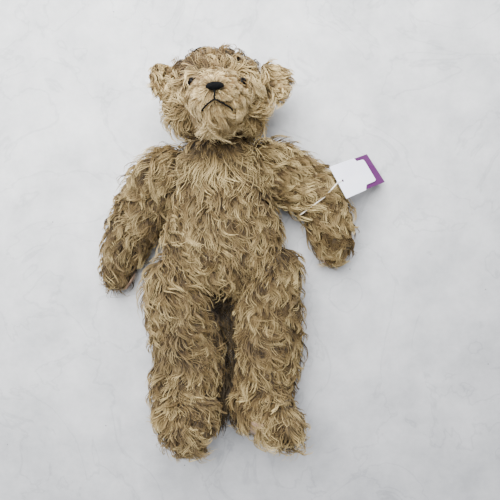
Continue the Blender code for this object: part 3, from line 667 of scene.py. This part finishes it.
def buildPileTree():
    tree = bpy.data.node_groups.new("curlyPile", "GeometryNodeTree")
    tree.interface.new_socket("Skin", in_out="INPUT", socket_type="NodeSocketGeometry")
    for name, value in pileInputs.items():
        kind = "NodeSocketInt" if isinstance(value, int) else "NodeSocketFloat"
        tree.interface.new_socket(name, in_out="INPUT", socket_type=kind).default_value = value
    tree.interface.new_socket("Fibre", in_out="INPUT", socket_type="NodeSocketMaterial")
    tree.interface.new_socket("Pile", in_out="OUTPUT", socket_type="NodeSocketGeometry")
    asked, result = tree.nodes.new("NodeGroupInput").outputs, tree.nodes.new("NodeGroupOutput")

    calc, vec, field = partial(doMath, tree), partial(doVector, tree), partial(namedField, tree)
    plus, minus, times, power = (partial(calc, kind) for kind in ("ADD", "SUBTRACT", "MULTIPLY", "POWER"))

    def lucky(key, luck):
        least, more = pileShape[key]
        return plus(least, times(luck, more))

    # roots
    density = times(asked["Density"], field("cover"))
    spread = addNode(tree, "GeometryNodeDistributePointsOnFaces", Mesh=asked["Skin"], Density=density,
                     Seed=asked["Seed"])
    position = tree.nodes.new("GeometryNodeInputPosition").outputs[0]
    roots = storeField(tree, spread.outputs["Points"], "root", position, "FLOAT_VECTOR")
    roots = storeField(tree, roots, "outward", spread.outputs["Normal"], "FLOAT_VECTOR")
    chance = addNode(tree, "FunctionNodeRandomValue", {"data_type": "FLOAT"}, Seed=asked["Seed"])
    roots = storeField(tree, roots, "chance", chance.outputs["Value"])

    # one straight fibre on each root, realised so that each point can move
    line = addNode(tree, "GeometryNodeCurvePrimitiveLine", End=(0, 0, 0.001))
    fibre = addNode(tree, "GeometryNodeResampleCurve", Curve=line.outputs[0], Count=asked["Fibre Points"])
    placed = addNode(tree, "GeometryNodeInstanceOnPoints", Points=roots, Instance=fibre.outputs[0])
    fibres = addNode(tree, "GeometryNodeRealizeInstances", Geometry=placed.outputs[0]).outputs[0]

    root, out = field("root", "FLOAT_VECTOR"), field("outward", "FLOAT_VECTOR")
    luck, pile = field("chance"), field("pile")
    along = tree.nodes.new("GeometryNodeSplineParameter").outputs["Factor"]

    # each cell is one lock with its own turn, bend, length, phase and tone
    cell = addNode(tree, "ShaderNodeTexVoronoi", Vector=root, Scale=calc("DIVIDE", 1.0, asked["Lock Size"]))
    lock = addNode(tree, "ShaderNodeSeparateXYZ", Vector=cell.outputs["Color"])
    turnLuck, sizeLuck, phaseLuck = lock.outputs
    more = addNode(tree, "ShaderNodeTexWhiteNoise", Vector=cell.outputs["Position"])
    extra = addNode(tree, "ShaderNodeSeparateXYZ", Vector=more.outputs["Color"])
    bendLuck, toneLuck, looseLuck = extra.outputs
    angle = times(minus(turnLuck, 0.5), asked["Lock Spread"])
    angle = plus(angle, times(minus(luck, 0.5), pileShape["rootTurn"]))
    comb = field("comb", "FLOAT_VECTOR")
    turned = addNode(tree, "ShaderNodeVectorRotate", Vector=comb, Axis=out, Angle=angle)
    ahead = vec("NORMALIZE", turned.outputs[0])
    aside = vec("CROSS_PRODUCT", out, ahead)

    length = times(asked["Lock Length"], pile)
    length = times(length, lucky("lockLength", sizeLuck))
    length = times(length, lucky("fibreLength", luck))
    arc = times(times(minus(bendLuck, 0.5), asked["Lock Bend"]), along)
    forward = minus(1.0, calc("DIVIDE", times(arc, arc), 6.0))
    forward = times(times(length, along), forward)
    sideways = times(times(length, along), times(arc, 0.5))
    phase = plus(times(phaseLuck, 2 * math.pi), times(luck, pileShape["fibrePhase"]))
    wave = plus(times(times(along, asked["Curl Turns"]), 2 * math.pi), phase)
    width = times(pile, power(along, pileShape["curlPower"]))
    width = times(asked["Curl Width"], width)
    swing = plus(sideways, times(width, calc("SINE", wave)))
    pull = times(asked["Lock Pull"], power(along, pileShape["pullPower"]))
    guess = vec("ADD", root, vec("SCALE", ahead, forward))
    guess = vec("ADD", guess, vec("SCALE", aside, swing))
    guess = vec("ADD", guess, vec("SCALE", vec("SUBTRACT", cell.outputs["Position"], root), pull))

    arch = minus(1.0, power(minus(1.0, along), pileShape["risePower"]))
    arch = minus(arch, times(power(along, 3.0), pileShape["droop"]))
    height = times(times(asked["Pile Height"], pile), arch)
    height = times(height, lucky("stand", power(looseLuck, 2.0)))
    lift = times(width, pileShape["curlLift"])
    height = plus(height, times(lift, calc("COSINE", wave)))
    height = calc("MAXIMUM", height, times(along, pileShape["lowest"]))
    normal = tree.nodes.new("GeometryNodeInputNormal").outputs[0]
    laid = nearSkin(tree, asked["Skin"], position, guess)
    laid = vec("ADD", laid, vec("SCALE", nearSkin(tree, asked["Skin"], normal, guess), height))
    free = vec("ADD", guess, vec("SCALE", out, height))
    blend = addNode(tree, "ShaderNodeMix", {"data_type": "VECTOR"})
    loose = times(asked["Looseness"], power(looseLuck, pileShape["hugPower"]))
    hug = minus(pileShape["hug"], loose)
    plug(tree, blend.inputs[0], times(hug, minus(1.0, field("hang"))))
    tree.links.new(free, blend.inputs[4])
    tree.links.new(laid, blend.inputs[5])
    above = vec("MAXIMUM", blend.outputs[1], (-10.0, -10.0, pileShape["overFloor"]))
    moved = addNode(tree, "GeometryNodeSetPosition", Geometry=fibres, Position=above).outputs[0]

    taper = minus(1.0, times(power(along, 2.0), pileShape["tipThin"]))
    thick = times(times(asked["Fibre Radius"], taper), lucky("thickness", luck))
    patch = addNode(tree, "ShaderNodeTexNoise", Vector=root, Scale=pileShape["patchScale"], Detail=1.0)
    tone = times(toneLuck, pileShape["lockTone"])
    tone = plus(tone, times(luck, pileShape["fibreTone"]))
    tone = plus(tone, times(patch.outputs[0], pileShape["patchTone"]))
    # the skin's tone field adds painted light and painted shade where the places give them
    tone = plus(tone, field("toneAndShade"))
    moved = storeField(tree, moved, "tone", calc("MAXIMUM", calc("MINIMUM", tone, 0.99), 0.01))
    moved = storeField(tree, moved, "along", along)
    ring = addNode(tree, "GeometryNodeCurvePrimitiveCircle", Resolution=3, Radius=1.0)
    tube = addNode(tree, "GeometryNodeCurveToMesh", Curve=moved, Profile_Curve=ring.outputs[0], Scale=thick,
                   Fill_Caps=True)
    pair = addNode(tree, "ShaderNodeCombineXYZ", X=field("tone"), Y=field("along"))
    mesh = storeField(tree, tube.outputs[0], "OFBake", pair.outputs[0], "FLOAT2", "CORNER")
    real = addNode(tree, "GeometryNodeRealizeInstances", Geometry=mesh).outputs[0]
    done = addNode(tree, "GeometryNodeSetMaterial", Geometry=real, Material=asked["Fibre"])
    tree.links.new(done.outputs[0], result.inputs["Pile"])
    return tree


pileTree = buildPileTree()


# Where regions meet: tilt is of the normal, the others are distances in mm
regionEdges = {"tilt": (-0.25, 0.15), "round": (22, 31), "height": (82, 96), "top": (105, 113)}


def regionShare(region, body, point, normal):
    # how far the point belongs to a region: the front looks up, and the muzzle is part of the head
    front, muzzle = smoothStep(normal.z, *regionEdges["tilt"]), 0.0
    if body == "head":
        muzzle = 1 - rise((point - muzzleCentre).length, *regionEdges["round"])
        muzzle *= rise(point.z, *regionEdges["height"])
        muzzle *= 1 - rise(point.y, *regionEdges["top"])
    rest = 1 - muzzle
    return {"front": front * rest, "back": (1 - front) * rest, "muzzle": muzzle, "all": 1.0}[region]


def growPile(name, skin, body, region, fibres, coat="body", **settings):
    pile = linkObject(name, skin.data.copy())
    cover = pile.data.attributes["cover"].data
    for vertex in pile.data.vertices:
        cover[vertex.index].value *= regionShare(region, body, vertex.co, vertex.normal)
    covered = sum(face.area * sum(cover[index].value for index in face.vertices) / len(face.vertices)
                  for face in pile.data.polygons)
    grow = pile.modifiers.new("pile", "NODES")
    grow.node_group = pileTree
    sockets = {item.name: item.identifier for item in pileTree.interface.items_tree if item.in_out == "INPUT"}
    grow[sockets["Density"]] = fibres / covered
    for key, value in settings.items():
        grow[sockets[key.replace("_", " ")]] = value
    grow[sockets["Fibre"]] = coats[coat]
    plainMesh(pile)
    dropFields(pile.data, [*treeFields, *dict(combFields)])
    for face in pile.data.polygons:
        face.use_smooth = True
    triangles = sum(len(face.vertices) - 2 for face in pile.data.polygons)
    print(name, "covers", round(covered * 1e6), "mm2,", triangles, "triangles")
    return pile


# Each region's pile: how many fibres, its coat where that isn't the body's, and any input of the tree
bodyPile = {
    "torso": {"front": {"fibres": 5900, "Seed": 3}, "back": {"fibres": 2400, "Seed": 4}},
    "head": {
        "front": {"coat": "head", "fibres": 5900, "Seed": 5, "Lock_Length": 0.017, "Pile_Height": 0.0072,
                  "Looseness": 0.45, "Lock_Spread": 1.0},
        "muzzle": {"coat": "muzzle", "fibres": 5900, "Seed": 26, "Lock_Length": 0.0185, "Pile_Height": 0.0062,
                   "Fibre_Radius": 0.00033, "Curl_Width": 0.0014, "Lock_Size": 0.0027, "Lock_Spread": 0.75,
                   "Lock_Bend": 1.2, "Lock_Pull": 0.45, "Looseness": 0.4},
        "back": {"coat": "head", "fibres": 2600, "Seed": 8},
    },
    "arm_left": {
        "front": {"fibres": 5000, "Seed": 7, "Fibre_Radius": 0.00038},
        "back": {"fibres": 1500, "Seed": 9},
    },
    "arm_right": {
        "front": {"fibres": 5000, "Seed": 11, "Fibre_Radius": 0.00038},
        "back": {"fibres": 1500, "Seed": 12},
    },
    "leg_left": {"front": {"fibres": 5900, "Seed": 13}, "back": {"fibres": 2500, "Seed": 14}},
    "leg_right": {"front": {"fibres": 5900, "Seed": 17}, "back": {"fibres": 2500, "Seed": 18}},
}


def setMaterial(piece, finish):
    piece.data.materials.clear()
    piece.data.materials.append(finishes[finish])


skins = {}
for body, regions in bodyPile.items():
    skin = makeSkin(body + "_skin", body + "_pelt", skinSettings["grain"], skinSettings["smoothing"], pelt=True)
    drawIn(skin, body, skinSettings["rootDepth"])
    combSkin(skin.data, bodyFields(body))
    for region, settings in regions.items():
        pile = growPile(f"{body}_pile_{region}", skin, body, region, **settings)
        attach(pile, body)
    dropFields(skin.data, dict(combFields))
    setMaterial(skin, "faceBackingShade" if body == "head" else "backing")
    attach(skin, body)
    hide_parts(body + "_pelt", body + "_stuffing")
    skins[body] = skin
print("pile done")


# Ears: cupped, with a shorter pile; the skin is drawn in by a depth, and each ear's pile lies its own way
earSettings = {
    "grain": 1.3, "smoothing": 3, "cover": 1.0, "hang": 0.15, "toneAndShade": 0.06, "fibres": 2300, "firstSeed": 21,
    "left": {"depth": 1.4, "lie": (0.75, -0.45, -0.2), "pile": 0.62},
    "right": {"depth": 2.2, "lie": (-0.1, -0.95, -0.1), "pile": 0.5},
}
earPile = {"Pile_Height": 0.0055, "Lock_Length": 0.018, "Fibre_Radius": 0.00036, "Looseness": 0.9,
           "Lock_Size": 0.0042, "Lock_Spread": 1.9, "Lock_Pull": 0.5, "Curl_Width": 0.0022}


def earFields(ear):
    def fieldsAt(point, normal):
        lie = Vector(ear["lie"])
        lie -= normal * lie.dot(normal)
        return lie.normalized(), (ear["pile"], earSettings["cover"], earSettings["hang"], earSettings["toneAndShade"])
    return fieldsAt


for side in ("left", "right"):
    node, ear = "ear_" + side, earSettings[side]
    skin = makeSkin(node + "_skin", node, earSettings["grain"], earSettings["smoothing"])
    normals = [vertex.normal.copy() for vertex in skin.data.vertices]
    for vertex, normal in zip(skin.data.vertices, normals):
        vertex.co -= normal * ear["depth"] * mm
    combSkin(skin.data, earFields(ear))
    seed = earSettings["firstSeed"] + len(side)
    pile = growPile(node + "_pile", skin, "head", "all", earSettings["fibres"], "head", Seed=seed, **earPile)
    dropFields(skin.data, dict(combFields))
    setMaterial(skin, "backing")
    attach(skin, "head")
    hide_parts(node)
    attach(pile, "head")


# Felt pads; the foot's felt is moved in under the pile
padSettings = {"grain": 0.9, "smoothing": 3, "footMove": (0, 4.5, -2.5)}
for node, body in (("arm_left_paw_pad", "arm_left"), ("arm_right_paw_pad", "arm_right"),
                   ("leg_left_foot_pad", "leg_left"), ("leg_right_foot_pad", "leg_right")):
    pad = makeSkin(node + "_felt", node, padSettings["grain"], padSettings["smoothing"])
    if "foot" in node:
        pad.data.transform(Matrix.Translation(Vector(padSettings["footMove"]) * mm))
    setMaterial(pad, "felt")
    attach(pad, body)
    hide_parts(node)


# Face: laid stitches over the pile, and a loose thread at the crown
faceSettings = {"lift": 3.6, "stitch": 0.75, "crownThread": 0.65}
# the crown's thread, as (x, z, lift) in mm
crownLine = [(-16.5, 56, 5.5), (-14, 59, 8.8), (-15, 61, 6.8), (-10.5, 59, 9.3), (-11.5, 62, 8), (-6.5, 59, 9.6),
             (-3.5, 55, 7)]


def makeLine(name, points, radius, finish):
    line = bpy.data.curves.new(name, "CURVE")
    line.dimensions = "3D"
    line.bevel_depth = radius * mm
    line.bevel_resolution = 3
    line.use_fill_caps = True
    spline = line.splines.new("POLY")
    spline.points.add(len(points) - 1)
    for knot, point in zip(spline.points, points):
        knot.co = (*(Vector(point) * mm), 1.0)
    line.materials.append(finishes[finish])
    return linkObject(name, line)


def smoothLine(points, parts):
    # more points on one smooth curve through the given ones
    points = [Vector(point) for point in points]
    whole = [points[0] * 2 - points[1], *points, points[-1] * 2 - points[-2]]
    made = []
    for a, b, c, d in zip(whole, whole[1:], whole[2:], whole[3:]):
        for step in range(parts):
            t = step / parts
            bend, twist = 2 * a - 5 * b + 4 * c - d, 3 * b - a - 3 * c + d
            made.append(0.5 * (2 * b + (c - a) * t + bend * t * t + twist * t ** 3))
    return made + [points[-1]]


faceTree = BVHTree.FromPolygons([vertex.co for vertex in skins["head"].data.vertices],
                                [face.vertices for face in skins["head"].data.polygons])
for node, line in mouthLines.items():
    points = []
    for spot in smoothLine([(*point, 0) for point in line], 4):
        place, normal, _, _ = faceTree.ray_cast(Vector((spot.x, spot.y, 200)) * mm, Vector((0, 0, -1)))
        points.append(place / mm + normal * faceSettings["lift"])
    stitch = makeLine(node + "_laid", points, faceSettings["stitch"], "thread")
    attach(stitch, "head")
    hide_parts(node)
points = []
for x, z, lift in crownLine:
    place, normal, _, _ = faceTree.ray_cast(Vector((x, 250, z)) * mm, Vector((0, -1, 0)))
    points.append(place / mm + Vector((-0.2, 0.9, 0.4)) * lift)
crown = makeLine("crown_thread", smoothLine(points, 4), faceSettings["crownThread"], "thread")
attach(crown, "head")
print("face done")


# Ticket: a white card narrowed at its end, over a purple one
ticket = {"thick": 0.5, "bow": 1.0, "gap": 0.6, "spread": 3.0, "length": 61, "width": 34,
          "hole": 1.3, "holeSpot": (0.112, 0.5), "holeSides": 16, "edgeStep": 0.09}


def farCorner(node, *direction):
    # the node's corner that stands farthest out along the direction
    reach = Vector(direction)
    return max((vertex.co for vertex in nodes[node].data.vertices), key=lambda spot: spot.dot(reach)) / mm


ticketCorners = [farCorner("tag_card", -1.4, 1, 0.3), farCorner("tag_card", -0.4, -1, 0.3),
                 farCorner("tag_backing", 0.2, 1, -0.3),
                 farCorner("tag_backing", 1, -0.4, -0.3) + Vector((1, -0.2, 0)) * ticket["spread"]]
whiteOutline = [(0, 0), (0.60, 0), (0.625, 0.115), (0.77, 0.125), (0.79, 0.135), (0.806, 0.16), (0.81, 0.20),
                (0.802, 0.80), (0.796, 0.83), (0.78, 0.852), (0.76, 0.86), (0.54, 0.862), (0.51, 0.90),
                (0.46, 1), (0, 1)]
purpleOutline = [(0.06, 0.03), (0.998, 0), (1, 1), (0.06, 0.97)]


def ticketSpot(along, across, lift):
    a, b, c, d = (Vector(corner) for corner in ticketCorners)
    face = (c - a).cross(b - a).normalized()
    face = face if face.z > 0 else -face
    spot = a.lerp(b, across).lerp(c.lerp(d, across), along)
    return (spot + face * (lift + ticket["bow"] * math.sin(math.pi * along))) * mm


def makeCard(name, outline, lift, finish, node):
    bm, edges, (u, v) = bmesh.new(), [], ticket["holeSpot"]
    wide, high = ticket["hole"] / ticket["length"], ticket["hole"] / ticket["width"]
    turns = [2 * math.pi * step / ticket["holeSides"] for step in range(ticket["holeSides"])]
    hole = [Vector((u + wide * math.cos(turn), v + high * math.sin(turn))) for turn in turns]
    for rim in ([Vector(point) for point in outline], hole):
        fine = []
        for start, end in zip(rim, rim[1:] + rim[:1]):
            count = max(1, round((end - start).length / ticket["edgeStep"]))
            fine += [start.lerp(end, step / count) for step in range(count)]
        corners = [bm.verts.new((point.x, point.y, 0)) for point in fine]
        edges += [bm.edges.new(pair) for pair in zip(corners, corners[1:] + corners[:1])]
    bmesh.ops.triangle_fill(bm, edges=edges, use_beauty=True)
    for vertex in bm.verts:
        vertex.co = ticketSpot(vertex.co.x, vertex.co.y, lift)
    bmesh.ops.recalc_face_normals(bm, faces=bm.faces)
    card = linkObject(name, meshOf(bm, name))
    depth = card.modifiers.new("depth", "SOLIDIFY")
    depth.thickness = ticket["thick"] * mm
    depth.offset = 0
    plainMesh(card)
    setMaterial(card, finish)
    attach(card, "arm_left")
    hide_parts(node)


makeCard("ticket_front", whiteOutline, ticket["gap"] + ticket["thick"], "card", "tag_card")
makeCard("ticket_back", purpleOutline, 0, "purple", "tag_backing")

# String: out of the ticket's hole, round the arm and back
stringRoute = [
    (116.4, 24.1, 43.2), (116.2, 24.1, 45.6), (115.8, 24.0, 47.7), (114.3, 23.5, 49.1), (111.2, 22.3, 52.1),
    (98.4, 9.9, 50.7), (97.0, 9.0, 50.9), (95.6, 8.1, 51.0), (88.8, 3.7, 49.5), (87.5, 2.9, 48.9),
    (82.7, -0.2, 45.4), (81.5, -1.0, 44.4), (77.2, -3.7, 39.6), (76.4, -4.2, 38.1), (74.9, -5.2, 31.2),
    (74.2, -5.7, 24.2), (74.3, -5.6, 22.4), (75.3, -4.9, 15.3), (75.6, -4.8, 13.5), (76.6, -4.1, 12.0),
    (80.9, -1.4, 6.8), (85.2, 1.4, 1.7), (86.5, 2.2, 0.8), (89.8, 4.3, 0.8), (94.2, 7.2, 0.8), (97.0, 9.0, 0.8),
    (104.2, 13.7, 0.8), (109.3, 16.9, 0.8), (110.6, 17.7, 1.8), (111.7, 18.4, 3.3), (113.8, 19.8, 6.1),
    (114.8, 20.4, 7.5), (117.6, 22.2, 12.0), (120.3, 24.0, 16.6), (121.3, 24.6, 18.3), (121.2, 24.5, 20.3),
    (121.1, 24.5, 22.2), (120.2, 23.9, 27.7), (113.7, 22.9, 44.2),
]
stringThick = 1.2
string = makeLine("ticket_string", stringRoute, stringThick / 2, "string")
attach(string, "arm_left")
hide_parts("tag_string")
print("ticket done")


# CAD nodes that keep their shape
for name, node in nodes.items():
    finish = None
    if name.startswith("eye_") and "washer" not in name:
        finish = "eye"
    elif name == "nose":
        finish = "nose"
    elif "disc" in name or "washer" in name:
        finish = "plastic"
    if finish:
        setMaterial(node, finish)


# Floor, light and camera
def floorMaterial():
    # painted boards: a soft mottle, faint scuffs and a few specks, and painted shade that darkens the floor
    # towards -y and +x
    made, tree, shader = newMaterial("floorPaint", roughness=0.6)
    white = (1, 1, 1)
    place = tree.nodes.new("ShaderNodeTexCoord").outputs["Object"]
    mottle = addNode(tree, "ShaderNodeTexNoise", Vector=place, Scale=16.0, Detail=8.0, Roughness=0.7)
    colour = colourRamp(tree, mottle.outputs[0], [(0.34, (0.44, 0.45, 0.46)), (0.66, (0.64, 0.645, 0.65))])
    scuff = addNode(tree, "ShaderNodeTexNoise", Vector=place, Scale=9.0, Detail=6.0, Distortion=1.6)
    lines = colourRamp(tree, scuff.outputs[0], [(0.485, white), (0.5, (0.84, 0.845, 0.85)), (0.515, white)])
    spots = addNode(tree, "ShaderNodeTexVoronoi", Vector=place, Scale=34.0)
    specks = colourRamp(tree, spots.outputs["Distance"], [(0.016, (0.35, 0.35, 0.36)), (0.03, white)])
    # painted shade: the floor darker away from the lamp, towards -y and +x
    away = addNode(tree, "ShaderNodeSeparateXYZ", Vector=place)
    near = doMath(tree, "MULTIPLY_ADD", away.outputs["X"], 0.35, 0.4)
    near = doMath(tree, "SUBTRACT", near, away.outputs["Y"])
    paintedFalloff = colourRamp(tree, near, [(0.25, white), (0.7, (0.70, 0.70, 0.715))])
    for layer in (lines, specks, paintedFalloff):
        colour = multiplied(tree, colour, layer)
    paint(tree, shader, colour, mottle.outputs[0], 0.0004, 0.3)
    return made


def makeFloor():
    bm = bmesh.new()
    bmesh.ops.create_grid(bm, x_segments=2, y_segments=2, size=3.0)
    floor = linkObject("floor", meshOf(bm, "floor"))
    floor.data.materials.append(floorMaterial())


def makeLight(name, place, size, power):
    data = bpy.data.lights.new(name, "AREA")
    data.size = size
    data.energy = power
    lamp = linkObject(name, data)
    lamp.location = place
    lamp.rotation_mode = "QUATERNION"
    lamp.rotation_quaternion = (-Vector(place)).to_track_quat("-Z", "Y")


lamps = {
    "window": {"place": (-0.17, 0.50, 0.88), "size": 1.0, "power": 52},
    "ceiling": {"place": (0.0, 0.1, 1.4), "size": 1.2, "power": 8},
}
room = {"Color": (0.9, 0.93, 1.0, 1), "Strength": 0.42}
view = {"place": (0.0247, -0.0354, 0.560), "turn": -3.8, "sensor": 36, "lens": 38.88, "nearest": 0.01}

makeFloor()
for name, settings in lamps.items():
    makeLight(name, **settings)
world = bpy.data.worlds.new("room")
world.use_nodes = True
for key, value in room.items():
    world.node_tree.nodes["Background"].inputs[key].default_value = value
bpy.context.scene.world = world

cameraData = bpy.data.cameras.new("camera")
cameraData.sensor_width, cameraData.lens, cameraData.clip_start = view["sensor"], view["lens"], view["nearest"]
camera = linkObject("camera", cameraData)
camera.location = view["place"]
camera.rotation_euler = (0, 0, math.radians(view["turn"]))
bpy.context.scene.camera = camera
